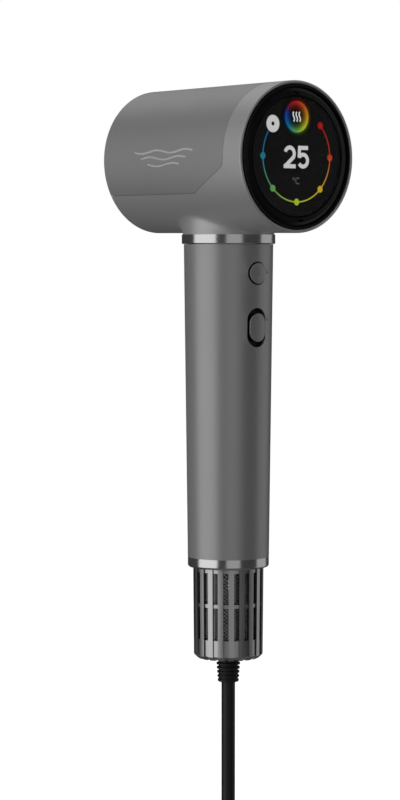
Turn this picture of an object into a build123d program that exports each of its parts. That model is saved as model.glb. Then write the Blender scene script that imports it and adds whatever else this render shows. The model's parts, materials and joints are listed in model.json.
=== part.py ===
"""Handheld high-speed hair dryer with a round display, as an assembly of separate pieces.

Frame: +Z up along the handle, the display and the switches face -Y, the air leaves towards +Y.
The origin is on the handle's axis at the middle of the grip. Lengths are millimetres.
"""
import os
from math import asin, atan2, cos, hypot, pi, radians, sin, tan

from build123d import *

# ---- driving dimensions -------------------------------------------------------------------
barrel_z = 117.0                # height of the barrel's axis above the grip centre
display_end = -49.75            # y of the barrel's display end
outlet_end = 52.95              # y of the barrel's outlet end
barrel_r = 36.0                 # at the display end
barrel_outlet_r = 35.3          # at the outlet end
barrel_bore_r = 33.0
cover_t = 1.2                   # thickness of the cover panel let into the barrel
seam = 0.15                     # gap round the cover panel
cover_low = 17.2                # how far the panel's lower edge runs below the barrel's axis
cover_front_y = -37.2           # the panel's edge behind the display
neck_r = 22.3
neck_blend_r = 5.5
neck_z = 80.6                   # plane where the neck ends on the collar ring
sleeve_r = 20.0                 # bore that takes the sleeve joining head, ring and handle
sleeve_bore_r = 18.3

collar_r = 22.77
collar_z = 76.1                 # lower face of the collar ring
tube_top_z = 75.95
tube_bottom_z = -76.5
tube_top_r = 21.78
tube_slope = 0.0125             # radius lost for each millimetre down the handle
tube_wall = 1.3

button_z = 61.9
button_r = 5.05
button_hole_r = 5.65
slot_z = 35.75                  # centre of the slide switch
slide_travel = 2.5              # each way
knob_length = 13.75
knob_width = 9.8
slot_length = knob_length + 2 * (slide_travel + 0.125)
slot_width = 11.6
switch_proud = 0.75            # how far the button and the knob stand out of the handle
board_y = -10.2                 # face of the control board, towards the switches
power_board_y = 5.0

ring_r = 19.83                  # lower ring, between the tube and the intake
ring_bottom_z = -81.45
cage_r = 17.21                  # over the ribs, at the top
cage_bottom_r = 16.86
cage_top_z = -81.55
cage_bottom_z = -126.3
cage_bore_r = 15.3
rib_count = 20
rib_width = 2.7
rib_height = 0.7
slot_rows = ((-98.6, -83.45), (-116.3, -100.4))     # lowest and highest z of each row of slots
mesh_r = 13.0
mesh_t = 0.45
basket_screw_r = 15.75          # circle of the screws that hold the intake basket
cage_magnet_r = 10.4            # circle of the magnets that hold the cage
cage_magnet_top = cage_bottom_z + 2.65

relief_top_z = -127.9
relief_end_z = -138.15
relief_top_r = 5.85
relief_low_r = 5.1
cage_hole_r = 6.3

cord_r = 3.35
fold_r = 20.5                   # centreline radius of the hank's folds
fold_rise = 56.7                # from the waist's end to the fold's centre
waist_length = 24.0
waist_y = 4.0                   # half distance of the strands under the tie
hank_top_z = -256.0
hank_half_x = 17.0
plug_x = 13.4
plug_y = 41.0
plug_top_z = -301.0             # upper end of the plug's strain relief
plug_relief_length = 22.0
plug_shoulder_length = 26.0
plug_grip_length = 16.0
plug_face_z = plug_top_z - plug_relief_length - plug_shoulder_length - plug_grip_length
plug_width = 35.5
plug_depth = 25.0
pin_r = 2.4
pin_length = 19.0
pin_half_gap = 9.5

rim_y = display_end
glass_r = 28.75
glass_y = rim_y + 0.1           # front face of the display glass
glass_t = 0.8
panel_y = glass_y + glass_t + 0.05
bezel_r = 34.35
bezel_seat_r = 34.5
seat_chamfer = 0.45
boss_r = 30.4                   # circle of the bezel's screw bosses
boss_angle = 30.0
duct_end = 18.6                 # y where the air duct hands over to the heater
nozzle_magnet_r = 31.45         # circle of the magnets that hold a nozzle

shaft_r = 1.5
bearing_r = 4.0
motor_r = 15.6
stator_low = -42.5
stator_top = -31.0
motor_low = -62.1
motor_top = -22.0


def tube_radius(z):
    """Outer radius of the handle tube at height z."""
    return tube_top_r - tube_slope * (tube_top_z - z)


# ---- small builders -----------------------------------------------------------------------
def turned(*points):
    """Solid turned about Z from (radius, height) points."""
    return revolve(make_face(Plane.XZ * Polyline(*points, close=True)), Axis.Z)


def rod(radius, low, high, x=0.0, y=0.0):
    return Pos(x, y, (low + high) / 2) * Cylinder(radius, high - low)


def ring(outer, inner, low, high, x=0.0, y=0.0):
    return rod(outer, low, high, x, y) - rod(inner, low - 1, high + 1, x, y)


def block(x0, x1, y0, y1, z0, z1):
    return Pos((x0 + x1) / 2, (y0 + y1) / 2, (z0 + z1) / 2) * Box(x1 - x0, y1 - y0, z1 - z0)


def along_barrel(shape):
    """Lay a shape made about Z along the barrel's axis: its z becomes the row's y."""
    return Pos(0, 0, barrel_z) * Rot(-90, 0, 0) * shape


def facing_front(shape, z):
    """Lay a shape made about Z on the switch axis at height z: its z becomes the row's y."""
    return Pos(0, 0, z) * Rot(-90, 0, 0) * shape


def spread(shape, count, first=0.0):
    """Copies of a shape turned evenly about Z."""
    return [Rot(0, 0, first + 360 * i / count) * shape for i in range(count)]


def fused(shapes):
    result = shapes[0]
    for shape in shapes[1:]:
        result = result + shape
    return result


def stadium(length, width, low, high):
    """Upright slot shape in XY, length along Y, between two heights."""
    straight = length - width
    body = block(-width / 2, width / 2, -straight / 2, straight / 2, low, high)
    return body + rod(width / 2, low, high, 0, -straight / 2) + rod(width / 2, low, high, 0, straight / 2)


def bend_radii(points):
    """For each corner, 0.45 of its shorter run over the tangent of half its turn."""
    radii = []
    for before, here, after in zip(points, points[1:], points[2:]):
        first = Vector(*here) - Vector(*before)
        second = Vector(*after) - Vector(*here)
        half_turn = radians(first.get_angle(second)) / 2
        radii.append(0.45 * min(first.length, second.length) / tan(half_turn))
    return radii


def swept_tube(points, radius, name):
    radii = bend_radii(points)
    path = FilletPolyline(*points, radius=radii)
    start = Plane(origin=path @ 0, z_dir=path % 0)
    solid = sweep(start * Circle(radius), path=path)
    ratio = solid.volume / (pi * radius ** 2 * path.length)
    print(name, "length", round(path.length, 1), "volume ratio", round(ratio, 4))
    print(name, "radii", [round(r, 1) for r in radii])
    return solid


# ---- head ---------------------------------------------------------------------------------
def barrel_cone(inset, extra=0.0):
    """Solid cone frustum of the barrel, inset from its outside."""
    start = display_end - extra
    end = outlet_end + extra
    outline = [(0, start), (barrel_r - inset, start), (barrel_outlet_r - inset, end), (0, end)]
    return along_barrel(turned(*outline))


def cover_prism(inset):
    """Side outline of the cover panel, cut right through the head: it keeps to the top and outlet side."""
    front_y = cover_front_y + inset
    low_z = barrel_z - cover_low + inset
    corner_low = (-11.5 + inset / 2, low_z)
    corner_front = (front_y, barrel_z - 4.7 + inset / 2)
    points = [(60, low_z), corner_low, corner_front, (front_y, barrel_z + 45), (60, barrel_z + 45)]
    face = make_face(Plane.YZ * Polyline(*points, close=True))
    for (y, z), radius in ((corner_low, 10.0), (corner_front, 5.0)):
        corner = face.vertices().sort_by_distance((0, y, z))[0]
        face = fillet(corner, radius)
    return extrude(face, 45, both=True)


def head_shell():
    barrel = barrel_cone(0)
    neck = rod(neck_r, neck_z - 12, barrel_z)
    blank = barrel + neck
    blank = fillet(new_edges(barrel, neck, combined=blank), neck_blend_r)
    blank = blank - block(-45, 45, -45, 45, neck_z - 20, neck_z)
    rim = blank.edges().filter_by(GeomType.CIRCLE).sort_by(Axis.Y)[0]
    blank = fillet(rim, 0.8)
    rebate = (barrel_cone(-1, extra=1) - barrel_cone(cover_t + 0.05, extra=2)) & cover_prism(0)
    bore = along_barrel(rod(barrel_bore_r, display_end - 1, outlet_end + 1))
    seat = along_barrel(rod(bezel_seat_r, display_end - 1, display_end + 6.5))
    lead_in = along_barrel(turned(
        (0, display_end - 1), (bezel_seat_r + seat_chamfer + 1, display_end - 1),
        (bezel_seat_r, display_end + seat_chamfer), (0, display_end + seat_chamfer)))
    neck_bore = rod(sleeve_r, neck_z - 1, neck_z + 15)
    return blank - rebate - bore - seat - lead_in - neck_bore


def head_cover():
    return (barrel_cone(0) - barrel_cone(cover_t, extra=1)) & cover_prism(seam)


def collar_ring():
    solid = ring(collar_r, sleeve_r, collar_z, neck_z)
    lower_edge = solid.edges().filter_by(GeomType.CIRCLE).group_by(Axis.Z)[0].sort_by(SortBy.RADIUS)[-1]
    return chamfer(lower_edge, 0.35)


def neck_joint():
    """Inner sleeve that ties the head, the collar ring and the handle together."""
    return ring(sleeve_r - 0.1, sleeve_bore_r, 71.0, 84.0)


def display_bezel():
    body = turned(
        (28.85, glass_y), (31.0, glass_y + 0.15), (33.1, rim_y + 1.15), (33.1, rim_y + 0.15),
        (33.95, rim_y + 0.1), (33.95, rim_y + 1.6), (bezel_r, rim_y + 1.6), (bezel_r, rim_y + 6.4),
        (28.85, rim_y + 6.4))
    boss = rod(1.75, rim_y + 6.3, rim_y + 11.7, boss_r)
    pilot = rod(1.05, rim_y + 7.5, rim_y + 12, boss_r)
    body = fused([body] + spread(boss, 3, boss_angle)) - spread(pilot, 3, boss_angle)
    floor = rim_y + 1.4
    sensor = Pos(-0.6, -30.0, 0) * Rot(0, 0, 32) * block(-1.3, 1.3, -0.5, 0.5, rim_y - 1, floor)
    window = Pos(-0.7, 30.1, 0) * block(-4.1, 4.1, -0.6, 0.6, rim_y - 1, floor)
    return along_barrel(body - sensor - window)


def display_glass():
    disc = rod(glass_r, glass_y, glass_y + glass_t)
    return along_barrel(chamfer(disc.edges().group_by(Axis.Z)[0], 0.12))


def display_panel():
    return along_barrel(rod(28.0, panel_y, panel_y + 1.6))


def display_board():
    board = rod(25.8, rim_y + 5.2, rim_y + 6.4)
    chips = [block(-5, 5, -5, 5, rim_y + 6.4, rim_y + 7.6),
             block(9, 17, -3, 3, rim_y + 6.4, rim_y + 8.4),
             block(-16, -11, 6, 12, rim_y + 6.4, rim_y + 7.4),
             block(-6, 6, 15, 19, rim_y + 6.4, rim_y + 8.9)]
    return along_barrel(fused([board] + chips))


def display_carrier():
    """Cup that holds the display and closes the barrel behind it."""
    top = rim_y + 6.5
    floor = rim_y + 11.8
    body = turned(
        (32.9, top + 0.05), (32.9, floor + 1.5), (0, floor + 1.5), (0, floor), (26.6, floor),
        (26.6, panel_y + 1.65), (28.5, panel_y + 1.65), (28.5, floor), (32.2, floor), (32.2, top + 0.05))
    for hole in spread(rod(1.1, floor - 1, floor + 2, boss_r), 3, boss_angle):
        body = body - hole
    return along_barrel(body)


def bezel_screws():
    seat = rim_y + 13.3
    screw = rod(1.0, rim_y + 8, seat, boss_r) + rod(1.9, seat, seat + 1.3, boss_r)
    return [along_barrel(s) for s in spread(screw, 3, boss_angle)]


def duct_form(inset, overrun):
    """Solid elbow from the neck into the barrel; overrun carries its two open ends further."""
    closed = -33.0 + inset
    radius = 27.0 - inset
    corner = 10.0
    end = duct_end + overrun
    body = turned((0, closed), (radius - corner, closed), (radius, closed + corner), (radius, end), (0, end))
    return along_barrel(body) + rod(sleeve_bore_r - 0.2 - inset, collar_z - 0.1 - overrun, barrel_z)


def air_duct():
    """Elbow that turns the air from the neck into the barrel, closed behind the display."""
    return duct_form(0, 0) - duct_form(1.4, 1)


def heater_sleeve():
    return along_barrel(ring(27.0, 26.4, duct_end + 0.2, 43.2))


def heater_frame():
    low = duct_end + 1.0
    high = 42.0
    blade = block(-21.3, 21.3, -0.5, 0.5, low, high) + block(-26.3, 26.3, -0.5, 0.5, low, low + 2.5)
    crossed = blade + Rot(0, 0, 90) * blade
    return along_barrel(crossed - rod(1.6, low - 1, high + 1) + ring(3.0, 1.6, low, high))


def heater_coil():
    pitch = 2.8
    first = duct_end + 5.0
    return [along_barrel(Pos(0, 0, first + pitch * i) * Torus(21.9, 0.5)) for i in range(7)]


def thermal_cutout():
    case = block(3.6, 11.6, 0.55, 3.6, 28.0, 36.0)
    cap = Pos(7.6, 3.6, 32.0) * Rot(-90, 0, 0) * rod(3.0, 0, 1.6)
    return along_barrel(case + cap)


def ion_generator():
    """Ion module above the duct, with the two needles that it feeds at the outlet."""
    module = block(-8, 8, -12, 10, barrel_z + 27.2, barrel_z + 31.7)
    needle = rod(0.6, 10.0, 41.0) + turned((0, 43.6), (0.6, 41.0), (0, 41.0))
    return [module] + [along_barrel(Pos(x, -29.2, 0) * needle) for x in (-5.0, 5.0)]


def outlet_ring():
    """Trim ring and seat of the clip-on nozzles."""
    body = turned(
        (28.6, 44.2), (32.9, 44.2), (32.9, outlet_end - 0.4), (32.4, outlet_end + 0.1),
        (30.6, outlet_end + 0.1), (30.0, outlet_end - 0.5), (30.0, 46.6), (28.6, 46.6))
    for pocket in spread(rod(1.15, 40, 50.3, nozzle_magnet_r), 6):
        body = body - pocket
    return along_barrel(body)


def nozzle_magnets():
    return [along_barrel(m) for m in spread(rod(1.1, 46.3, 50.2, nozzle_magnet_r), 6)]


def outlet_grille():
    back = 43.4
    front = 46.4
    rings = [ring(r + 0.6, r - 0.6, back, front) for r in (9.0, 15.0, 21.0)]
    rim = ring(28.5, 27.2, back, front)
    hub = rod(3.5, back, front)
    spokes = spread(block(2.5, 27.8, -0.6, 0.6, back + 0.2, front - 0.2), 8)
    return along_barrel(fused([rim, hub] + rings + spokes))


# ---- handle -------------------------------------------------------------------------------
def handle_tube():
    low = tube_bottom_z
    high = tube_top_z
    outer = turned((0, low), (tube_radius(low), low), (tube_radius(high), high), (0, high))
    inner = turned(
        (0, low - 1), (tube_radius(low - 1) - tube_wall, low - 1),
        (tube_radius(high + 1) - tube_wall, high + 1), (0, high + 1))
    button_hole = facing_front(rod(button_hole_r, -30, -10), button_z)
    slot = facing_front(stadium(slot_length, slot_width, -30, -10), slot_z)
    return outer - inner - button_hole - slot


def switch_cap(outline, z):
    """Front part of a switch: its outline cut off just proud of the handle's own curve."""
    low = 20.0
    high = 72.0
    skin = turned((0, low), (tube_radius(low) + switch_proud, low), (tube_radius(high) + switch_proud, high),
                  (0, high))
    cap = facing_front(outline, z) & skin
    front = [edge for edge in cap.edges() if edge.center().Y < -20.6]
    return fillet(front, 0.35)


def power_button():
    cap = switch_cap(rod(button_r, -30, -19.0), button_z)
    stem = rod(6.6, -18.7, -17.9) + rod(4.5, -19.2, -18.6) + rod(1.6, -18.0, -12.3)
    dimple = Pos(0, 0, -(tube_radius(button_z) + switch_proud) - 0.55) * Sphere(0.9)
    return cap + facing_front(stem, button_z) - facing_front(dimple, button_z)


def tact_switch():
    body = block(-3, 3, -3, 3, -13.4, board_y) - rod(1.7, -14, board_y - 1)
    return facing_front(body, button_z)


def slider_knob():
    return switch_cap(stadium(knob_length, knob_width, -30, -18.45), slot_z)


def slider_carrier():
    """Plate behind the slot, with the finger that moves the switch."""
    plate = block(-6, 6, -13, 13, -18.45, -17.3)
    finger = block(-1.5, 1.5, -2, 2, -17.4, -12.3)
    return facing_front(plate + finger, slot_z)


def slide_switch():
    body = block(-4, 4, -8.5, 8.5, -13.7, board_y) - block(-1.7, 1.7, -4.8, 4.8, -14, -12.1)
    return facing_front(body, slot_z)


def control_board():
    return block(-12, 12, board_y, board_y + 1.2, 18, 74)


def board_parts():
    """Chips and a connector on the control board."""
    return [block(-9.5, -5.5, board_y - 1.0, board_y, 48.5, 54.5),
            block(5.5, 9.0, board_y - 1.4, board_y, 47.0, 51.0),
            block(-4.0, 4.0, board_y - 1.1, board_y, 19.5, 23.5),
            block(5.0, 11.0, board_y - 2.4, board_y, 66.5, 71.5)]


def switch_frame():
    plate = block(-15, 15, -8.0, -6.5, 14, 74)
    rails = [block(x - 0.75, x + 0.75, -6.6, power_board_y - 0.1, 14, 74) for x in (-14.25, 14.25)]
    posts = [block(x - 1.5, x + 1.5, -9.0, -7.9, z - 1.5, z + 1.5) for x in (-10, 10) for z in (20, 72)]
    window = block(-8, 8, -9, -5, 26, 62)
    return fused([plate] + rails + posts) - window


def power_board():
    return block(-15, 15, power_board_y, power_board_y + 1.6, -12, 62)


def filter_capacitor():
    return rod(5.5, 30, 50, 0, 12.15)


def choke_coil():
    return facing_front(ring(6.0, 2.6, 6.65, 12.65), 16.0)


def heater_triac():
    return block(-5, 5, 6.65, 11.2, -3.5, 7.0)


# ---- motor --------------------------------------------------------------------------------
def motor_mount():
    """Rubber sleeve that floats the motor in the tube; a channel lets the mains leads past."""
    body = turned(
        (13.6, -64.0), (17.4, -64.0), (17.4, -20.5), (15.7, -20.5), (15.7, -62.2), (13.6, -62.2))
    heights = (-62, -49, -36, -24)
    ribs = [turned((17.3, z), (18.5, z + 0.7), (18.5, z + 1.7), (17.3, z + 2.4)) for z in heights]
    channel = block(-3.4, 3.4, 15.72, 19, -65, -20)
    return fused([body] + ribs) - channel


def motor_housing():
    wall = ring(motor_r, motor_r - 0.9, motor_low, motor_top)
    hub = turned(
        (4.02, -47.0), (10.7, -47.0), (10.7, -27.6), (9.75, -27.6), (9.75, -45.4), (5.0, -45.4),
        (5.0, -43.7), (4.02, -43.7))
    blade = Pos(12.6, 0, -38) * Rot(18, 0, 0) * Box(4.6, 0.9, 14)
    zone = ring(15.0, 10.4, -46.5, -29.0)
    vanes = [v & zone for v in spread(blade, 9)]
    return fused([wall, hub] + vanes)


def motor_end_cap():
    return turned(
        (4.02, -29.6), (5.0, -29.6), (5.0, -27.5), (10.7, -27.5), (10.7, -26.0), (8.4, -26.0),
        (8.4, -24.6), (7.2, -24.6), (7.2, -26.0), (4.02, -26.0))


def motor_bearings():
    return [ring(bearing_r, shaft_r + 0.04, low, low + 3.0) for low in (-47.0, -29.5)]


def stator_core():
    yoke = ring(9.7, 7.9, stator_low, stator_top)
    teeth = spread(block(4.6, 8.1, -1.6, 1.6, stator_low, stator_top), 4)
    return fused([yoke] + teeth) - rod(4.75, -43, -30)


def stator_coils():
    wound = block(5.3, 7.25, -2.7, 2.7, stator_low - 0.9, stator_top + 0.9)
    coil = wound - block(5, 8, -1.65, 1.65, stator_low - 0.05, stator_top + 0.05)
    return spread(coil, 4)


def motor_shaft():
    """Shaft with the nut that clamps the impeller."""
    return rod(shaft_r, -60.4, -25.4) + rod(2.8, -60.2, -58.5)


def rotor_magnet():
    return ring(4.3, shaft_r, stator_low, stator_top)


def impeller():
    hub = turned((shaft_r, -58.5), (4.5, -58.5), (9.0, -52.0), (9.6, -48.6), (shaft_r, -48.6))
    blade = Pos(10, 0, -53.4) * Rot(-42, 0, 0) * Box(8.6, 0.8, 14)
    zone = turned((4.0, -58.3), (14.1, -58.3), (14.1, -49.0), (9.2, -49.0), (8.4, -52.0))
    return fused([hub] + [b & zone for b in spread(blade, 9)])


# ---- intake -------------------------------------------------------------------------------
def lower_ring():
    straight_z = ring_bottom_z + 1.05
    rounding = ThreePointArc((ring_r, 0, straight_z), (ring_r - 0.4, 0, straight_z - 0.72),
                             (ring_r - 1.3, 0, ring_bottom_z))
    outline = [
        Polyline((ring_r - 1.3, 0, ring_bottom_z), (14.6, 0, ring_bottom_z), (14.6, 0, -76.05),
                 (17.0, 0, -76.05), (17.0, 0, -68.0), (18.4, 0, -68.0), (18.4, 0, tube_bottom_z),
                 (ring_r, 0, tube_bottom_z), (ring_r, 0, straight_z)),
        rounding]
    body = revolve(make_face(outline), Axis.Z)
    for hole in spread(rod(0.75, -80, -76, basket_screw_r), 3, 30):
        body = body - hole
    return body


def intake_core():
    """Fixed basket behind the cage that carries the mesh and the cord clamp."""
    body = turned(
        (11.0, -74.0), (16.9, -74.0), (16.9, -76.0), (mesh_r - mesh_t - 0.05, -76.0),
        (mesh_r - mesh_t - 0.05, -122.0), (5.1, -122.0), (5.1, -119.5), (11.0, -119.5))
    for window in spread(block(9, 14, -3.2, 3.2, -117, -86.5), 8):
        body = body - window
    for hole in spread(rod(0.8, -77, -73, basket_screw_r), 3, 30):
        body = body - hole
    return body


def mesh_screen():
    return ring(mesh_r, mesh_r - mesh_t, -118.5, -84.0)


def latch_plate():
    return ring(mesh_r, 7.4, -123.1, -122.0)


def filter_cage():
    """Ribbed cup that pulls off downwards for cleaning."""
    low = cage_bottom_z
    valley_top = cage_r - rib_height
    valley_low = cage_bottom_r - rib_height
    cup = turned(
        (cage_hole_r, low + 0.3), (valley_low - 2.8, low + 0.3), (valley_low - 1.3, low + 0.8),
        (valley_low, low + 2.1), (valley_top, cage_top_z), (cage_bore_r, cage_top_z),
        (cage_bore_r, low + 2.7), (cage_hole_r, low + 2.7))
    rib_zone = turned(
        (12.6, low + 0.6), (12.6, low + 0.2), (cage_bottom_r - 2.3, low), (cage_bottom_r - 1.9, low + 0.15),
        (cage_bottom_r, low + 1.95), (cage_r, cage_top_z), (cage_bore_r + 0.3, cage_top_z),
        (cage_bore_r + 0.3, low + 1.5))
    rib = block(10, 20, -rib_width / 2, rib_width / 2, low - 1, cage_top_z + 1)
    ribs = [r & rib_zone for r in spread(rib, rib_count)]
    cup = cup + ribs
    slots = []
    for bottom, top in slot_rows:
        half = pi * cage_r / rib_count - rib_width / 2
        slots += spread(block(14, 20, -half, half, bottom, top), rib_count, 180 / rib_count)
    cup = cup - slots
    pockets = spread(rod(2.55, low + 1.6, low + 3.0, cage_magnet_r), 3, 90)
    return cup - pockets


def cage_magnets():
    return spread(rod(2.5, cage_magnet_top - 1.0, cage_magnet_top, cage_magnet_r), 3, 90)


# ---- cord, its fittings and the plug ----------------------------------------------------------
def ribbed_sleeve(top, bottom, top_r, bottom_r, core_r, count):
    """Strain relief outline: rings of falling radius on a thinner core."""
    pitch = (top - bottom) / count
    points = [(0, bottom)]
    for i in range(count):
        low = bottom + pitch * i
        outer = bottom_r + (top_r - bottom_r) * (i + 0.5) / count
        points += [(core_r, low), (outer, low + 0.15 * pitch), (outer, low + 0.55 * pitch),
                   (core_r, low + 0.7 * pitch)]
    points += [(core_r, top), (0, top)]
    return turned(*points)


def strain_relief():
    body = ribbed_sleeve(relief_top_z, relief_end_z, relief_top_r, relief_low_r, 4.75, 5)
    stem = rod(5.0, relief_top_z - 0.2, -119.0)
    flange = rod(7.2, -119.4, -117.6)
    return body + stem + flange


def cord_clamp():
    body = block(-9, 9, -5.5, 5.5, -115.5, -107.5) - rod(cord_r + 0.02, -116, -107)
    gap = block(-12, 12, -0.4, 0.4, -116, -107)
    body = body - gap
    for x in (-6.4, 6.4):
        body = body - facing_front(rod(1.25, -7, 7, x, 0), -111.5)
    return body


def mains_leads():
    """The sheathed cord's end in the clamp, and its two leads past the motor to the power board."""
    pieces = [rod(cord_r, -117.6, -104.0)]
    for x in (-1.3, 1.3):
        points = [(x, 0, -104), (x, 0, -97), (x, 9.4, -86), (x, 9.6, -73),
                  (x, 16.85, -66), (x, 16.85, -18), (x, 8.2, -12.5)]
        path = FilletPolyline(*points, radius=[4.0, 5.0, 4.0, 4.0, 3.0])
        start = Plane(origin=path @ 0, z_dir=path % 0)
        pieces.append(sweep(start * Circle(1.0), path=path))
    return pieces


def frame_screws():
    """Three screws that hold the intake basket to the lower ring, and two through the cord clamp."""
    short = rod(0.7, -79.5, -74.0, basket_screw_r) + rod(1.15, -74.0, -73.1, basket_screw_r)
    long = [rod(1.2, -5.5, 5.5, x, 0) + rod(2.1, -6.9, -5.5, x, 0) for x in (-6.4, 6.4)]
    return spread(short, 3, 30) + [facing_front(screw, -111.5) for screw in long]


def cord_hank():
    """Outer shape of the tied hank: two round folds drawn together at the waist."""
    outer = fold_r + cord_r
    top_fold = hank_top_z - outer
    waist_top = top_fold - fold_rise
    waist_low = waist_top - waist_length
    low_fold = waist_low - fold_rise
    half = waist_y + cord_r
    lean = asin(outer / hypot(half, fold_rise)) - atan2(half, fold_rise)
    side_y = outer * cos(lean)
    drop = outer * sin(lean)
    outline = [(side_y, top_fold - drop), (half, waist_top), (half, waist_low), (side_y, low_fold + drop)]
    mirrored = [(-y, z) for y, z in reversed(outline)]
    web = extrude(make_face(Plane.YZ * Polyline(*outline, *mirrored, close=True)), hank_half_x, both=True)
    folds = [Pos(0, 0, z) * Rot(0, 90, 0) * Cylinder(outer, 2 * hank_half_x) for z in (top_fold, low_fold)]
    return web + folds[0] + folds[1]


def hank_tie():
    centre = hank_top_z - fold_r - cord_r - fold_rise - waist_length / 2
    x = hank_half_x + 0.1
    y = waist_y + cord_r + 0.1
    outer = block(-x - 1.4, x + 1.4, -y - 1.4, y + 1.4, centre - 9, centre + 9)
    outer = fillet(outer.edges().filter_by(Axis.Z), 1.2)
    return outer - block(-x, x, -y, y, centre - 10, centre + 10)


def cord_lead():
    """Straight hang below the dryer, then a gentle step to the face of the hank."""
    route = [(0, 0, relief_end_z), (0, 0, -215), (-13.6, 1.5, -250), (-13.6, 2.5, -300)]
    return swept_tube(route, cord_r, "cord_lead") - cord_hank()


def cord_tail():
    """Last fold of the hank, over the top and down to the plug."""
    route = [(12.6, -13.0, -306), (13.4, -21.0, -264.5), (13.4, -3.0, -245), (13.4, 23.0, -245),
             (plug_x, plug_y, -264), (plug_x, plug_y, plug_top_z)]
    return swept_tube(route, cord_r, "cord_tail") - cord_hank()


def plug_relief():
    sleeve = ribbed_sleeve(plug_top_z, plug_top_z - plug_relief_length, 4.6, 6.2, 4.0, 7)
    return Pos(plug_x, plug_y, 0) * sleeve


def plug_section(z, width, depth):
    return Pos(plug_x, plug_y, z) * RectangleRounded(width, depth, min(width, depth) * 0.49)


def plug_body():
    top = plug_top_z - plug_relief_length
    shoulder = top - plug_shoulder_length
    upper = loft([plug_section(top, 15, 14), plug_section(shoulder, plug_width, plug_depth)])
    lower = extrude(plug_section(plug_face_z, plug_width, plug_depth), plug_grip_length)
    return upper + lower


def plug_pins():
    pins = []
    for x in (plug_x - pin_half_gap, plug_x + pin_half_gap):
        pin = rod(pin_r, plug_face_z - pin_length, plug_face_z, x, plug_y)
        pins.append(fillet(pin.edges().group_by(Axis.Z)[0], 1.6))
    return pins


# ---- export -------------------------------------------------------------------------------
NODES = [
    head_shell, head_cover, collar_ring, neck_joint, display_bezel, display_glass, display_panel,
    display_board, display_carrier, bezel_screws, air_duct, heater_sleeve, heater_frame, heater_coil,
    thermal_cutout, ion_generator, outlet_ring, nozzle_magnets, outlet_grille,
    handle_tube, power_button, tact_switch, slider_knob, slider_carrier, slide_switch,
    control_board, board_parts, switch_frame, power_board, filter_capacitor, choke_coil, heater_triac,
    motor_mount, motor_housing, motor_end_cap, motor_bearings, stator_core, stator_coils,
    motor_shaft, rotor_magnet, impeller,
    lower_ring, intake_core, frame_screws, mesh_screen, latch_plate, filter_cage, cage_magnets,
    strain_relief, cord_clamp, mains_leads, cord_lead, cord_hank, hank_tie, cord_tail, plug_relief,
    plug_body, plug_pins,
]


def main():
    os.makedirs("parts", exist_ok=True)
    for make in NODES:
        made = make()
        solids = made if isinstance(made, list) else [made]
        shape = Compound(children=[s for solid in solids for s in solid.solids()])
        export_step(shape, f"parts/{make.__name__}.step")
    print(len(NODES), "nodes")


main()
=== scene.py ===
"""Looks of a handheld high-speed hair dryer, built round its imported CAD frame.

Lengths are metres in the CAD model's frame: +Z up the handle, display towards -Y, outlet towards +Y.
"""

import json
import math

import bmesh
import bpy
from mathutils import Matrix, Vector


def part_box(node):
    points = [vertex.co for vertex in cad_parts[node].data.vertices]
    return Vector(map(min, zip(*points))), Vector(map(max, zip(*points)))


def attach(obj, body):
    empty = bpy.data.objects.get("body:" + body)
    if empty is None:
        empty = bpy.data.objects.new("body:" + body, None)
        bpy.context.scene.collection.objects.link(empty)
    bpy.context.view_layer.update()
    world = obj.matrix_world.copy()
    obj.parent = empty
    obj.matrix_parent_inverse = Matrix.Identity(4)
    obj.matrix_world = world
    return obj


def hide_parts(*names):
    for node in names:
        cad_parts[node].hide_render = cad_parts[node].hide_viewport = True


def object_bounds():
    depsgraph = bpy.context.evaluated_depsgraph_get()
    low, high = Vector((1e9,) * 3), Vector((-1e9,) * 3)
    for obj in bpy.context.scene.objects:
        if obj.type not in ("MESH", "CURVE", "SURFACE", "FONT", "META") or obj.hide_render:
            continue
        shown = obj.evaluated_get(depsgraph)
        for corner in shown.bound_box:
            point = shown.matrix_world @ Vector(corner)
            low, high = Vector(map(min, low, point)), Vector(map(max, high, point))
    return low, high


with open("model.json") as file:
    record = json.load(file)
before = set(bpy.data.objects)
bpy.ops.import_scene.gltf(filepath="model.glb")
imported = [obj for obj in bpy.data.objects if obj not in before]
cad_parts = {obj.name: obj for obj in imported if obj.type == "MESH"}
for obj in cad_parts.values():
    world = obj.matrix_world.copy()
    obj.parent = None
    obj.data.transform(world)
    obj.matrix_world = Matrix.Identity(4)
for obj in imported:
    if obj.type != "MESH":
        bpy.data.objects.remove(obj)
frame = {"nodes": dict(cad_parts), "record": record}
cad_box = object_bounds()

MM = 0.001
WAVE = 0.16     # a wave texture of scale WAVE / pitch repeats about every two pitches
scene = bpy.context.scene
scene.view_settings.view_transform = "Standard"


def middle(node):
    low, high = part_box(node)
    return (low + high) / 2


def cone_of(node, axis):
    """Two (place, radius) pairs: the outside of a turned CAD node at its ends along an axis (1 is Y, 2 is Z)."""
    points = [v.co for v in frame["nodes"][node].data.vertices]
    low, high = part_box(node)
    centre = Vector((0, 0, barrel_z if axis == 1 else 0))
    ends = []
    for place in (low[axis], high[axis]):
        radii = []
        for p in points:
            if abs(p[axis] - place) < 2 * MM:
                away = p - centre
                away[axis] = 0
                radii.append(away.length)
        ends.append((place, max(radii)))
    return ends


def radius_at(cone, place):
    (p0, r0), (p1, r1) = cone
    return r0 + (r1 - r0) * (place - p0) / (p1 - p0)


barrel_z = middle("outlet_ring").z
handle_cone = cone_of("handle_tube", 2)
barrel_cone = cone_of("head_cover", 1)
screen_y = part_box("display_panel")[0].y


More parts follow.
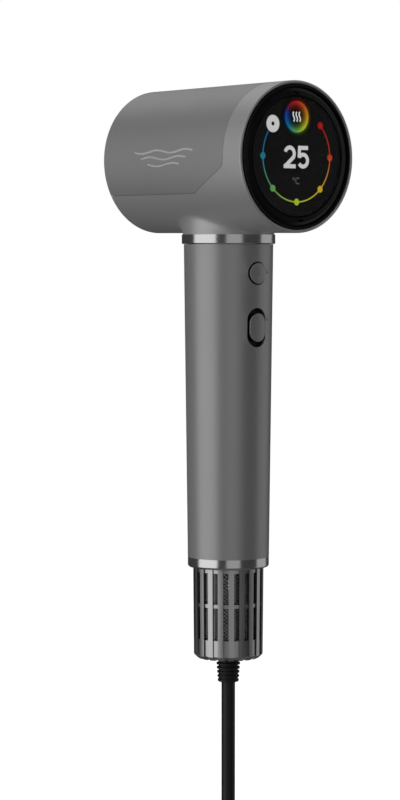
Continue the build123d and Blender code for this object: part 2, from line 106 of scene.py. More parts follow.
# ---- material helpers -----------------------------------------------------------------------
class Finish:
    """A Principled material, with short ways to add the nodes that vary it over the surface."""

    def __init__(self, name, colour, roughness, metallic=0.0, **fixed):
        self.material = bpy.data.materials.new(name)
        self.material.use_nodes = True
        self.tree = self.material.node_tree
        self.shader = self.tree.nodes["Principled BSDF"]
        self.colour = colour
        self.roughness = roughness
        self.put("Base Color", (*colour, 1))
        self.put("Roughness", roughness)
        self.put("Metallic", metallic)
        for socket, value in fixed.items():
            self.put(socket.replace("_", " "), value)

    def put(self, socket, value):
        self.shader.inputs[socket].default_value = value

    def node(self, kind, **inputs):
        made = self.tree.nodes.new("ShaderNode" + kind)
        for key, value in inputs.items():
            socket = made.inputs[key.replace("_", " ")]
            if isinstance(value, bpy.types.NodeSocket):
                self.tree.links.new(value, socket)
            else:
                socket.default_value = value
        return made

    def place(self, stretch=(1, 1, 1)):
        """The surface's place in the frame, stretched along each axis."""
        coordinates = self.node("TexCoord").outputs["Object"]
        if stretch == (1, 1, 1):
            return coordinates
        return self.node("Mapping", Vector=coordinates, Scale=stretch).outputs["Vector"]

    def noise(self, size, detail=2.0, stretch=(1, 1, 1)):
        """Noise from 0 to 1 whose lumps are about size metres wide."""
        made = self.node("TexNoise", Vector=self.place(stretch), Scale=1 / size, Detail=detail)
        return made.outputs["Fac"]

    def spread(self, value, low, high, start=0.3, stop=0.7):
        """A value from start to stop, brought to low to high."""
        made = self.node("MapRange", Value=value, From_Min=start, From_Max=stop, To_Min=low, To_Max=high)
        return made.outputs["Result"]

    def math(self, operation, *values):
        made = self.tree.nodes.new("ShaderNodeMath")
        made.operation = operation
        for socket, value in zip(made.inputs, values):
            if isinstance(value, bpy.types.NodeSocket):
                self.tree.links.new(value, socket)
            else:
                socket.default_value = value
        return made.outputs["Value"]

    def reach(self, first, second):
        """How far a point lies from an axis, from its two distances across the axis."""
        squares = [self.math("POWER", value, 2.0) for value in (first, second)]
        return self.math("SQRT", self.math("ADD", *squares))

    def blend(self, factor, first, second):
        """One colour mixed into another; each is three numbers or a socket."""
        made = self.tree.nodes.new("ShaderNodeMix")
        made.data_type = "RGBA"
        self.tree.links.new(factor, made.inputs["Factor"])
        for socket, value in ((made.inputs[6], first), (made.inputs[7], second)):
            if isinstance(value, bpy.types.NodeSocket):
                self.tree.links.new(value, socket)
            else:
                socket.default_value = (*value, 1)
        return made.outputs[2]

    def ramp(self, value, stops):
        """A colour ramp through (place, colour) stops."""
        made = self.node("ValToRGB", Fac=value)
        elements = made.color_ramp.elements
        elements[0].position, elements[-1].position = stops[0][0], stops[-1][0]
        elements[0].color, elements[-1].color = (*stops[0][1], 1), (*stops[-1][1], 1)
        for place, colour in stops[1:-1]:
            elements.new(place).color = (*colour, 1)
        return made.outputs["Color"]

    def link(self, socket, value):
        self.tree.links.new(value, self.shader.inputs[socket])

    def vary_colour(self, value, amount):
        """Makes the colour lighter and darker by a share of itself."""
        dark = [c * (1 - amount) for c in self.colour]
        light = [min(1, c * (1 + amount)) for c in self.colour]
        self.link("Base Color", self.blend(value, dark, light))

    def vary_roughness(self, value, amount):
        self.link("Roughness", self.spread(value, self.roughness - amount, self.roughness + amount))

    def bump(self, height, depth, strength=1.0):
        made = self.node("Bump", Height=height, Distance=depth, Strength=strength)
        self.link("Normal", made.outputs["Normal"])


def painted(name, colour, roughness, metallic):
    """Satin paint or anodising: a fine grain, and a very faint cloud of handling over it."""
    finish = Finish(name, colour, roughness, metallic)
    grain = finish.noise(0.22 * MM, 3)
    cloud = finish.noise(24 * MM, 3)
    finish.vary_colour(finish.spread(grain, 0, 1, 0.35, 0.65), 0.05)
    finish.vary_roughness(finish.math("MULTIPLY_ADD", cloud, 0.6, finish.math("MULTIPLY", grain, 0.4)), 0.03)
    finish.bump(grain, 0.004 * MM, 0.6)
    return finish.material


def bright_metal(name, colour, roughness, stretch=(1, 1, 30)):
    """Turned or brushed metal: hair lines along one way."""
    finish = Finish(name, colour, roughness, 1.0)
    lines = finish.noise(3 * MM, 4, stretch)
    finish.vary_colour(lines, 0.04)
    finish.vary_roughness(lines, 0.04)
    finish.bump(lines, 0.002 * MM, 0.4)
    return finish.material


def round_handle(finish):
    """A surface point's distance from the handle's axis, its place, and how far it looks away from the axis."""
    spot = finish.node("SeparateXYZ", Vector=finish.place())
    away = finish.reach(spot.outputs["X"], spot.outputs["Y"])
    way = finish.node("SeparateXYZ", Vector=finish.node("TexCoord").outputs["Normal"])
    outwards = finish.math("DIVIDE", finish.math(
        "ADD", finish.math("MULTIPLY", way.outputs["X"], spot.outputs["X"]),
        finish.math("MULTIPLY", way.outputs["Y"], spot.outputs["Y"])), away)
    return away, spot, outwards


def cage_metal_and_painted_shade(name, colour, roughness):
    """Brushed metal on the faces that look outwards; the slots' sides and everything inside are painted shade,
    near black.
    """
    finish = Finish(name, colour, roughness, 1.0)
    lines = finish.noise(3 * MM, 4, (1, 1, 0.1))
    away, spot, outwards = round_handle(finish)
    painted_shade_radius, edge = 16.0 * MM, 0.05 * MM
    foot_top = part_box("filter_cage")[0].z + 2.3 * MM
    unshaded_outer_face = finish.math("MULTIPLY", finish.spread(away, 0, 1, painted_shade_radius, painted_shade_radius + edge),
                       finish.spread(outwards, 0.15, 1, 0.55, 0.65))
    foot = finish.spread(spot.outputs["Z"], 1, 0, foot_top, foot_top + edge)
    metal = finish.math("MAXIMUM", unshaded_outer_face, foot)
    dark, light = [c * 0.96 for c in colour], [min(1, c * 1.04) for c in colour]
    # painted shade: where the mask is 0 (slot sides and inside) the colour is near black and not metal
    finish.link("Base Color", finish.blend(metal, (0.004, 0.004, 0.004), finish.blend(lines, dark, light)))
    finish.link("Metallic", metal)
    finish.vary_roughness(lines, 0.04)
    finish.bump(lines, 0.002 * MM, 0.4)
    return finish.material


def switch_metal_and_painted_shade(name, colour, roughness, metallic):
    """Satin metal on a switch's face; its sides, down in the gap, are painted shade, near black."""
    finish = Finish(name, colour, roughness)
    grain = finish.noise(0.22 * MM, 3)
    _, _, outwards = round_handle(finish)
    face = finish.spread(outwards, 0, 1, 0.3, 0.7)
    dark, light = [c * 0.95 for c in colour], [c * 1.05 for c in colour]
    # painted shade: where the surface turns away from the face, the colour goes to near black and not metal
    finish.link("Base Color", finish.blend(face, (0.004, 0.004, 0.004), finish.blend(grain, dark, light)))
    finish.link("Metallic", finish.math("MULTIPLY", face, metallic))
    finish.vary_roughness(grain, 0.03)
    finish.bump(grain, 0.004 * MM, 0.6)
    return finish.material


def moulded(name, colour, roughness, grain=0.35 * MM, depth=0.02 * MM, shine=0.5):
    """Moulded plastic or rubber with a spark-eroded grain."""
    finish = Finish(name, colour, roughness, Specular_IOR_Level=shine)
    texture = finish.noise(grain, 3)
    cloud = finish.noise(15 * MM, 2)
    finish.vary_colour(cloud, 0.12)
    finish.vary_roughness(finish.math("MULTIPLY_ADD", cloud, 0.5, finish.math("MULTIPLY", texture, 0.5)), 0.06)
    finish.bump(texture, depth, 0.7)
    return finish.material


def woven(name, colour, pitch):
    """Loop fabric: two crossing waves broken up by fibres."""
    finish = Finish(name, colour, 0.9, Sheen_Weight=0.4, Sheen_Roughness=0.5)
    across = finish.node("TexWave", Vector=finish.place(), Scale=WAVE / pitch, Distortion=2.0)
    along = finish.node("TexWave", Vector=finish.place(), Scale=WAVE / pitch, Distortion=2.0)
    across.bands_direction, along.bands_direction = "Z", "DIAGONAL"
    fibres = finish.noise(0.3 * MM, 4)
    height = finish.math("ADD", finish.math("MULTIPLY", across.outputs["Fac"], along.outputs["Fac"]), fibres)
    finish.vary_colour(finish.spread(height, 0, 1, 0.3, 1.5), 0.5)
    finish.bump(height, 0.25 * MM, 0.8)
    return finish.material


def circuit(name):
    """Solder mask with copper tracks showing through as slightly raised, lighter bands."""
    finish = Finish(name, (0.012, 0.06, 0.03), 0.35)
    tracks = finish.node("TexBrick", Vector=finish.place(), Scale=160.0, Mortar_Size=0.06)
    tracks.offset = 0.5
    finish.link("Base Color", finish.blend(tracks.outputs["Fac"], (0.012, 0.06, 0.03), (0.02, 0.12, 0.055)))
    finish.vary_roughness(finish.noise(2 * MM), 0.08)
    finish.bump(tracks.outputs["Fac"], 0.03 * MM, 0.6)
    return finish.material


def glass(name):
    """Clear cover glass with a black border printed round its edge."""
    finish = Finish(name, (0.9, 0.9, 0.9), 0.02, Transmission_Weight=1.0, IOR=1.3)
    spot = finish.node("SeparateXYZ", Vector=finish.place())
    away = finish.reach(spot.outputs["X"], finish.math("SUBTRACT", spot.outputs["Z"], barrel_z))
    clear_radius = 27.85 * MM
    clear = finish.spread(away, 1, 0, clear_radius, clear_radius + 0.05 * MM)
    finish.link("Transmission Weight", clear)
    finish.link("Base Color", finish.blend(clear, (0.004, 0.004, 0.004), finish.colour))
    finish.vary_roughness(finish.noise(9 * MM, 3), 0.012)
    return finish.material


def glowing(name, colour, strength):
    """Lit pixels, with the panel's fine pixel rows across them."""
    finish = Finish(name, (0.0, 0.0, 0.0), 0.12, Specular_IOR_Level=0.25)
    rows = finish.node("TexWave", Vector=finish.place(), Scale=WAVE / (0.25 * MM))
    rows.bands_direction = "Z"
    lit = finish.blend(rows.outputs["Fac"], [c * 0.94 for c in colour], colour)
    finish.link("Emission Color", lit)
    finish.put("Emission Strength", strength)
    return finish.material


def display_black(name):
    """Unlit display: near black and smooth, with the faintest glow left in its pixels."""
    finish = Finish(name, (0.003, 0.003, 0.003), 0.12, Specular_IOR_Level=0.25)
    finish.vary_colour(finish.noise(0.25 * MM, 2), 0.2)
    finish.vary_roughness(finish.noise(6 * MM, 2), 0.02)
    finish.put("Emission Color", (1, 1, 1, 1))
    finish.put("Emission Strength", 0.003)
    return finish.material


def laminated(name, colour, metallic=0.0):
    """Stacked sheets: fine level lines across the barrel or handle."""
    finish = Finish(name, colour, 0.45, metallic)
    sheets = finish.node("TexWave", Vector=finish.place(), Scale=WAVE / (0.5 * MM))
    sheets.bands_direction = "Z"
    finish.vary_colour(sheets.outputs["Fac"], 0.25)
    finish.vary_roughness(finish.noise(2 * MM), 0.08)
    finish.bump(sheets.outputs["Fac"], 0.05 * MM, 0.7)
    return finish.material


MATERIALS = {
    "body_paint": painted("body_paint", (0.66, 0.66, 0.66), 0.45, 0.45),
    "panel_paint": painted("panel_paint", (0.49, 0.49, 0.49), 0.46, 0.42),
    "handle_metal": painted("handle_metal", (0.52, 0.52, 0.52), 0.38, 0.40),
    "switch_metal": switch_metal_and_painted_shade("switch_metal", (0.50, 0.50, 0.50), 0.42, 0.45),
    "cage_metal": cage_metal_and_painted_shade("cage_metal", (0.63, 0.63, 0.63), 0.36),
    "chrome": bright_metal("chrome", (0.78, 0.78, 0.78), 0.18),
    "black_satin": moulded("black_satin", (0.006, 0.006, 0.0065), 0.26, 0.2 * MM, 0.004 * MM, 0.3),
    "dark_plastic": moulded("dark_plastic", (0.015, 0.015, 0.016), 0.5),
    "display_glass": glass("display_glass"),
    "screen": display_black("screen"),
    "mesh_steel": bright_metal("mesh_steel", (0.70, 0.70, 0.70), 0.12),
    "steel": bright_metal("steel", (0.55, 0.55, 0.55), 0.25),
    "magnet": bright_metal("magnet", (0.50, 0.49, 0.47), 0.22),
    "circuit_board": circuit("circuit_board"),
    "component_black": moulded("component_black", (0.012, 0.012, 0.012), 0.45),
    "frame_plastic": moulded("frame_plastic", (0.03, 0.03, 0.032), 0.5),
    "duct_plastic": moulded("duct_plastic", (0.035, 0.035, 0.037), 0.42),
    "mica": laminated("mica", (0.45, 0.36, 0.22)),
    "heater_wire": bright_metal("heater_wire", (0.36, 0.33, 0.31), 0.4),
    "copper": bright_metal("copper", (0.72, 0.33, 0.18), 0.3),
    "motor_aluminium": bright_metal("motor_aluminium", (0.52, 0.53, 0.54), 0.35),
    "stator_steel": laminated("stator_steel", (0.30, 0.30, 0.31), 1.0),
    "capacitor_sleeve": moulded("capacitor_sleeve", (0.02, 0.03, 0.10), 0.3),
    "impeller_alloy": bright_metal("impeller_alloy", (0.55, 0.55, 0.56), 0.32),
    "rubber_black": moulded("rubber_black", (0.010, 0.010, 0.010), 0.55, 0.3 * MM, 0.015 * MM),
    "cord_rubber": moulded("cord_rubber", (0.011, 0.011, 0.011), 0.48, 0.4 * MM, 0.015 * MM),
    "tie_fabric": woven("tie_fabric", (0.02, 0.02, 0.021), 1.2 * MM),
    "plug_plastic": moulded("plug_plastic", (0.012, 0.012, 0.012), 0.42, 0.3 * MM, 0.02 * MM),
    "lead_insulation": moulded("lead_insulation", (0.16, 0.05, 0.02), 0.4),
    "plug_brass": bright_metal("plug_brass", (0.66, 0.60, 0.50), 0.2),
}

for part in frame["record"]["subparts"]:
    data = frame["nodes"][part["node"]].data
    data.materials.clear()
    data.materials.append(MATERIALS[part["material_slot"]])


# ---- mesh helpers ---------------------------------------------------------------------------
def piece(name, vertices, faces, slot, material=None, body="root", smooth=True):
    """A new mesh piece in the frame that rides on a body and has a slot's finish."""
    data = bpy.data.meshes.new(name)
    data.from_pydata([tuple(v) for v in vertices], [], faces)
    data.validate()
    mesh = bmesh.new()
    mesh.from_mesh(data)
    bmesh.ops.recalc_face_normals(mesh, faces=mesh.faces)
    mesh.to_mesh(data)
    mesh.free()
    for polygon in data.polygons:
        polygon.use_smooth = smooth
    made = bpy.data.objects.new(name, data)
    scene.collection.objects.link(made)
    data.materials.append(material or MATERIALS[slot])
    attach(made, body)
    return made


class Solid:
    """Vertices and faces that gather into one piece."""

    def __init__(self):
        self.vertices = []
        self.faces = []

    def add(self, vertices, faces):
        first = len(self.vertices)
        self.vertices += vertices
        self.faces += [[first + i for i in face] for face in faces]

    def prism(self, outline, place, low, high):
        """A closed outline of (u, v) points, carried to the surface by place(u, v, lift)."""
        count = len(outline)
        vertices = [place(u, v, lift) for lift in (low, high) for u, v in outline]
        sides = [[i, (i + 1) % count, count + (i + 1) % count, count + i] for i in range(count)]
        self.add(vertices, sides + [list(range(count))[::-1], list(range(count, 2 * count))])

    def ribbon(self, line, width, place, low, high, closed=False):
        """A stroke of even width along (u, v) points."""
        left, right = [], []
        count = len(line)
        for i, here in enumerate(line):
            before = Vector(line[(i - 1) % count] if closed or i else here)
            after = Vector(line[(i + 1) % count] if closed or i < count - 1 else here)
            along = (after - before).normalized()
            across = Vector((-along.y, along.x)) * width / 2
            left.append(Vector(here) + across)
            right.append(Vector(here) - across)
        rails = [left, right]
        vertices = [place(p.x, p.y, lift) for lift in (low, high) for rail in rails for p in rail]
        faces = []
        for i in range(count if closed else count - 1):
            j = (i + 1) % count
            faces += [
                [i, j, count + j, count + i],
                [2 * count + i, 3 * count + i, 3 * count + j, 2 * count + j],
                [i, 2 * count + i, 2 * count + j, j],
                [count + i, count + j, 3 * count + j, 3 * count + i],
            ]
        if not closed:
            faces += [[0, count, 3 * count, 2 * count],
                      [count - 1, 3 * count - 1, 4 * count - 1, 2 * count - 1]]
        self.add(vertices, faces)


def arc(radius, start, stop, steps, centre=(0, 0)):
    """Points on a circle from one angle to another, in degrees."""
    turns = [math.radians(start + (stop - start) * i / steps) for i in range(steps + 1)]
    return [(centre[0] + radius * math.cos(t), centre[1] + radius * math.sin(t)) for t in turns]


def disc(radius, centre, steps=40):
    return arc(radius, 0, 360, steps, centre)[:-1]


def on_screen(u, v, lift):
    """A point on the display's face, right and up from its middle."""
    return Vector((u, screen_y - lift, barrel_z + v))


def on_handle(u, v, lift):
    """A point on the handle, u round it from the switch side towards +X, and v is its height."""
    radius = radius_at(handle_cone, v)
    turn = u / radius
    return Vector(((radius + lift) * math.sin(turn), -(radius + lift) * math.cos(turn), v))


def on_barrel(side):
    """Places points on the barrel's side, u along it and v round it up from the middle; side is -1 or 1."""
    def place(u, v, lift):
        radius = radius_at(barrel_cone, u)
        turn = v / radius
        return Vector((side * (radius + lift) * math.cos(turn), u, barrel_z + (radius + lift) * math.sin(turn)))
    return place


# ---- cord, in millimetres -------------------------------------------------------------------
CORD_RADIUS = 3.35
FOLD_RADIUS = 20.5
TOP_FOLD = -279.85
LOW_FOLD = -417.25
WAIST_TOP = -336.55
WAIST_LOW = -360.55
WAIST_Y = 4.0
TURNS = 3.5
FIRST_X = -11.2
TURN_PITCH = 6.7
CORD_EXIT = (0, 0, -138.15)


def hank_turns():
    """Control points of the hank: down the +Y strand, round the low fold, up the -Y strand, round the top.

    A fold's points are the corners of a line of straight edges outside its circle, with one more point half
    an edge before and after, so that the cord bends evenly into the fold.
    """
    rise = TOP_FOLD - WAIST_TOP
    lean = math.asin(FOLD_RADIUS / math.hypot(WAIST_Y, rise)) - math.atan2(WAIST_Y, rise)
    steps = 12
    step = (math.pi + 2 * lean) / steps
    outside = FOLD_RADIUS / math.cos(step / 2)
    half_edge = FOLD_RADIUS * math.tan(step / 2)
    points = []
    for half in range(int(2 * TURNS) + 1):
        side = 1 if half % 2 == 0 else -1
        heights = (WAIST_TOP, WAIST_LOW) if side > 0 else (WAIST_LOW, WAIST_TOP)
        for height, shift in zip(heights, (-0.04, 0.04)):
            points.append((FIRST_X + TURN_PITCH * (half / 2 + shift), side * WAIST_Y, height))
        if half == 2 * TURNS:
            break
        corners = [(outside * math.cos(turn), outside * math.sin(turn))
                   for turn in (-lean + step * (i + 0.5) for i in range(steps))]
        run_up = (FOLD_RADIUS * math.cos(lean) - half_edge * math.sin(lean),
                  -FOLD_RADIUS * math.sin(lean) - half_edge * math.cos(lean))
        corners = [run_up] + corners + [(-run_up[0], run_up[1])]
        for i, (out, drop) in enumerate(corners):
            share = half / 2 + 0.12 + 0.26 * max(0, min(1, (i - 0.5) / steps))
            height = LOW_FOLD - drop if side > 0 else TOP_FOLD + drop
            points.append((FIRST_X + TURN_PITCH * share, side * out, height))
    return points


def curve_piece(name, route, radius, slot, around=8, along=12):
    """A round cord along the smooth NURBS line of a route in millimetres."""
    data = bpy.data.curves.new(name, "CURVE")
    data.dimensions = "3D"
    data.bevel_depth = radius
    data.bevel_resolution = around
    data.resolution_u = along
    data.use_fill_caps = True
    line = data.splines.new("NURBS")
    line.points.add(len(route) - 1)
    for point, place in zip(line.points, route):
        point.co = (*(Vector(place) * MM), 1)
    line.order_u = 3
    line.use_endpoint_u = True
    made = bpy.data.objects.new(name, data)
    scene.collection.objects.link(made)
    data.materials.append(MATERIALS[slot])
    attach(made, "root")
    return made


def make_cord(tie):
    lead = [CORD_EXIT, (0, 0, -177), (0, 0, -215), (-13.6, 1.5, -250), (-13.6, 2.5, -300)]
    tail = [(12.6, -13, -306), (13.4, -21, -264.5), (13.4, -3, -245), (13.4, 23, -245),
            (13.4, 41, -264), (13.4, 41, -301)]
    cord = curve_piece("mains_cord", lead + hank_turns() + tail, CORD_RADIUS * MM, "cord_rubber")
    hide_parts("cord_lead", "cord_hank", "cord_tail")


def band_line(half_x, half_y, corner, steps=8):
    """Closed rounded rectangle, anticlockwise from the middle of its +X side."""
    line = []
    for sx, sy, start in ((1, 1, 0), (-1, 1, 90), (-1, -1, 180), (1, -1, 270)):
        line += arc(corner, start, start + 90, steps, (sx * (half_x - corner), sy * (half_y - corner)))
    return line


def make_tie():
    """Hook and loop strap round the hank: a soft band, its free end lapped over on the display side."""
    low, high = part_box("hank_tie")
    centre = (low + high) / 2
    half_x, half_y, half_z = (high - low) / 2
    thick = 1.2 * MM
    profile = [(0.0, -1.0), (0.75, -0.98), (1.0, -0.9), (1.0, 0.9), (0.75, 0.98), (0.0, 1.0)]
    strap = Solid()
    line = band_line(half_x - thick, half_y - thick, 5.0 * MM, 10)
    count = len(line)
    vertices, faces = [], []
    for i, (x, y) in enumerate(line):
        before, after = Vector(line[i - 1]), Vector(line[(i + 1) % count])
        along = (after - before).normalized()
        out = Vector((along.y, -along.x))
        waist = 1 - 0.05 * math.cos(4 * math.pi * i / count)
        for lift, height in profile:
            spot = Vector((x, y)) + out * (lift * thick)
            vertices.append(Vector((spot.x, spot.y, height * half_z * waist)) + centre)
    width = len(profile)
    for i in range(count):
        for k in range(width - 1):
            j = (i + 1) % count
            faces.append([i * width + k, j * width + k, j * width + k + 1, i * width + k + 1])
        faces.append([i * width + width - 1, ((i + 1) % count) * width + width - 1,
                      ((i + 1) % count) * width, i * width])
    strap.add(vertices, faces)

    def on_strap(u, v, lift):
        return Vector((centre.x + u, low.y - lift, centre.z + v))
    tab = [(-0.55, -0.78), (0.45, -0.78), (0.62, -0.55), (0.66, 0.0), (0.62, 0.55), (0.45, 0.78), (-0.55, 0.78)]
    strap.prism([(u * half_x, v * half_z) for u, v in tab], on_strap, -0.1 * MM, 0.9 * MM)
    made = piece("hank_strap", strap.vertices, strap.faces, "tie_fabric")
    bevel = made.modifiers.new("soft edges", "BEVEL")
    bevel.width, bevel.segments, bevel.angle_limit = 0.3 * MM, 2, math.radians(50)
    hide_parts("hank_tie")
    return made


make_cord(make_tie())


# ---- intake mesh ----------------------------------------------------------------------------
def make_mesh_screen():
    """Perforated sheet behind the cage: staggered rows of round holes, each an octagon in an oblong cell.

    A cell's points are the hole's rim (0 to 7), points on its border (8 to 15), its corners (16 to 19), and
    the rim of the hole's back (20 to 27).
    """
    low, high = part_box("mesh_screen")
    radius = (high.x - low.x) / 2
    columns, hole, squash, sides = 44, 0.60 * MM, 0.77, 8
    across = 2 * math.pi * radius / columns
    rows = round((high.z - low.z) / (0.92 * MM))
    rise = (high.z - low.z) / rows
    thick = 0.3 * MM
    sheet = Solid()

    def on_tube(u, v, lift):
        turn = u / radius
        return Vector(((radius + lift) * math.sin(turn), -(radius + lift) * math.cos(turn), low.z + v))
    for row in range(rows):
        for column in range(columns):
            middle_u = (column + 0.5 * (row % 2)) * across
            middle_v = (row + 0.5) * rise
            rim, edge = [], []
            for i in range(sides):
                turn = 2 * math.pi * (i + 0.5) / sides
                rim.append((middle_u + hole * math.cos(turn), middle_v + squash * hole * math.sin(turn)))
            for u, v in ((0.5, 0.25), (0.25, 0.5), (-0.25, 0.5), (-0.5, 0.25),
                         (-0.5, -0.25), (-0.25, -0.5), (0.25, -0.5), (0.5, -0.25)):
                edge.append((middle_u + u * across, middle_v + v * rise))
            corners = [(middle_u + u * across, middle_v + v * rise)
                       for u, v in ((0.5, 0.5), (-0.5, 0.5), (-0.5, -0.5), (0.5, -0.5))]
            flat = rim + edge + corners
            vertices = [on_tube(u, v, 0) for u, v in flat] + [on_tube(u, v, -thick) for u, v in flat[:sides]]
            after = [(i + 1) % sides for i in range(sides)]
            faces = [[i, 8 + i, 8 + after[i], after[i]] for i in range(sides)]
            faces += [[8, 16, 9], [10, 17, 11], [12, 18, 13], [14, 19, 15]]
            faces += [[i, after[i], 20 + after[i], 20 + i] for i in range(sides)]
            sheet.add(vertices, faces)
    made = piece("perforated_screen", sheet.vertices, sheet.faces, "mesh_steel")
    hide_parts("mesh_screen")


make_mesh_screen()


# ---- display --------------------------------------------------------------------------------
BLUE = (0.005, 0.11, 0.32)
TEAL = (0.011, 0.17, 0.25)
GREEN = (0.088, 0.29, 0.081)
LIME = (0.35, 0.46, 0.023)
AMBER = (0.54, 0.35, 0.016)
ORANGE = (0.43, 0.038, 0.011)
RED = (0.35, 0.007, 0.010)
WHITE = (0.72, 0.72, 0.72)


def angle_round(finish, centre_z):
    """0 to 1 once round a point of the display: 0 at its right, 0.25 at the top."""
    spot = finish.node("SeparateXYZ", Vector=finish.place())
    up = finish.math("SUBTRACT", spot.outputs["Z"], centre_z)
    turn = finish.math("ARCTAN2", up, spot.outputs["X"])
    share = finish.math("DIVIDE", turn, 2 * math.pi)
    return finish.math("FRACT", finish.math("ADD", share, 1.0)), spot.outputs["X"], up


def gauge_glow():
    """Colours of the temperature scale by their angle on the dial."""
    finish = Finish("screen_gauge", (0, 0, 0), 0.12, Specular_IOR_Level=0.25)
    share, _, _ = angle_round(finish, barrel_z)
    stops = [(0.0, ORANGE), (0.125, RED), (0.30, RED), (0.36, BLUE), (0.42, BLUE), (0.5, TEAL),
             (0.62, GREEN), (0.75, LIME), (0.876, AMBER), (1.0, ORANGE)]
    finish.link("Emission Color", finish.ramp(share, stops))
    finish.put("Emission Strength", 1.0)
    return finish.material


def orb_glow(centre_z, radius):
    """Rainbow ring that fades inwards, and a little outwards past its edge; the edge is at 0.5 in its fade."""
    finish = Finish("screen_orb", (0, 0, 0), 0.12, Specular_IOR_Level=0.25)
    share, x, up = angle_round(finish, centre_z)
    stops = [(0.0, (0.56, 0.30, 0.012)), (0.125, (0.51, 0.085, 0.01)), (0.25, (0.42, 0.012, 0.012)),
             (0.375, (0.145, 0.011, 0.018)), (0.42, (0.03, 0.02, 0.12)), (0.50, (0.0, 0.068, 0.39)),
             (0.625, (0.012, 0.16, 0.27)), (0.75, (0.12, 0.37, 0.065)), (0.875, (0.45, 0.57, 0.017)),
             (1.0, (0.56, 0.30, 0.012))]
    hue = finish.ramp(share, stops)
    share_out = finish.math("DIVIDE", finish.reach(x, up), 2 * radius)
    fade = ((0.0, 0.0), (0.16, 0.01), (0.25, 0.08), (0.34, 0.25), (0.47, 0.85), (0.495, 1.0), (0.515, 0.18),
            (0.58, 0.04), (0.68, 0.0))
    strength = finish.ramp(share_out, [(place, (value, value, value)) for place, value in fade])
    finish.link("Emission Color", finish.blend(strength, (0, 0, 0), hue))
    finish.put("Emission Strength", 1.0)
    return finish.material


def letter_c(centre, half_width, half_height):
    """Centreline of an open round letter."""
    line = []
    for i in range(25):
        turn = math.radians(48 + 264 * i / 24)
        line.append((centre[0] + half_width * math.cos(turn), centre[1] + half_height * math.sin(turn)))
    return line


def figure_two(x, z, half_width, half_height):
    """Centrelines of a 2: the bow with its slope, and the foot."""
    top = z + half_height - half_width
    bow = arc(half_width, 162, -35, 22, (x, top))
    foot = (x - half_width, z - half_height)
    return [bow + [(foot[0] + 0.2 * MM, foot[1] + 0.1 * MM)],
            [(foot[0] - 0.9 * MM, foot[1]), (x + half_width + 0.9 * MM, foot[1])]]


def figure_five(x, z, half_width, half_height):
    """Centrelines of a 5: the flag, the stem and the bowl."""
    top = z + half_height
    left = x - 0.76 * half_width
    reach = 0.64 * half_height
    middle_z = z - half_height + reach
    bowl = []
    for i in range(27):
        turn = math.radians(148 - 296 * i / 26)
        bowl.append((x + half_width * math.cos(turn), middle_z + reach * math.sin(turn)))
    return [[(left - 0.9 * MM, top), (x + half_width + 0.3 * MM, top)],
            [(left, top + 0.5 * MM), (left - 0.3 * MM, middle_z + 0.45 * reach)], bowl]


def make_screen():
    """What the display shows: a dial, its pointer, a rainbow orb, the temperature and its unit."""
    dial = 21.35 * MM
    lift = 0.012 * MM
    gauge = Solid()
    gauge.ribbon(arc(dial, 147, 405, 120), 0.62 * MM, on_screen, 0, lift)
    for angle in (180, 225, 270, 315, 360, 405):
        turn = math.radians(angle)
        gauge.prism(disc(1.62 * MM, (dial * math.cos(turn), dial * math.sin(turn)), 24), on_screen, 0, 1.5 * lift)
    piece("dial_scale", gauge.vertices, gauge.faces, "screen", gauge_glow(), smooth=False)

    pointer = Solid()
    turn = math.radians(135)
    spot = (dial * math.cos(turn), dial * math.sin(turn))
    pointer.ribbon(disc(2.52 * MM, spot, 40), 3.1 * MM, on_screen, 1.5 * lift, 2.5 * lift, closed=True)
    piece("dial_pointer", pointer.vertices, pointer.faces, "screen",
          glowing("screen_white", WHITE, 0.85), smooth=False)

    orb_z, orb_radius = 18.8 * MM, 7.3 * MM
    orb = Solid()
    orb.prism(disc(1.36 * orb_radius, (0, orb_z), 64), on_screen, 0, 0.5 * lift)
    piece("mode_orb", orb.vertices, orb.faces, "screen", orb_glow(barrel_z + orb_z, orb_radius), smooth=False)

    symbol = Solid()
    for shift in (-1.9, 0, 1.9):
        wave = [((shift + 0.45 * math.sin(2 * math.pi * i / 16)) * MM, orb_z + (i / 16 - 0.5) * 4.6 * MM)
                for i in range(17)]
        symbol.ribbon(wave, 0.75 * MM, on_screen, lift, 2 * lift)
    piece("mode_symbol", symbol.vertices, symbol.faces, "screen",
          glowing("screen_symbol", WHITE, 1.0), smooth=False)

    figures = Solid()
    half_width, half_height = 2.9 * MM, 4.4 * MM
    for line in (figure_two(-4.45 * MM, -0.17 * MM, half_width, half_height)
                 + figure_five(4.05 * MM, -0.17 * MM, half_width, half_height)):
        figures.ribbon(line, 1.9 * MM, on_screen, 0, lift)
    piece("temperature_figures", figures.vertices, figures.faces, "screen",
          glowing("screen_figures", (0.62, 0.62, 0.62), 1.0), smooth=False)

    unit = Solid()
    unit.ribbon(disc(0.55 * MM, (-1.85 * MM, -10.5 * MM), 20), 0.35 * MM, on_screen, 0, lift, closed=True)
    unit.ribbon(letter_c((0.75 * MM, -11.4 * MM), 1.35 * MM, 1.4 * MM), 0.5 * MM, on_screen, 0, lift)
    piece("temperature_unit", unit.vertices, unit.faces, "screen",
          glowing("screen_unit", (0.10, 0.10, 0.10), 1.0), smooth=False)


make_screen()


# ---- marks on the outside -------------------------------------------------------------------
MARK_SILVER = painted("mark_silver", (0.98, 0.98, 0.98), 0.42, 0.25)
MARK_WHITE = painted("mark_white", (0.98, 0.98, 0.98), 0.50, 0.0)


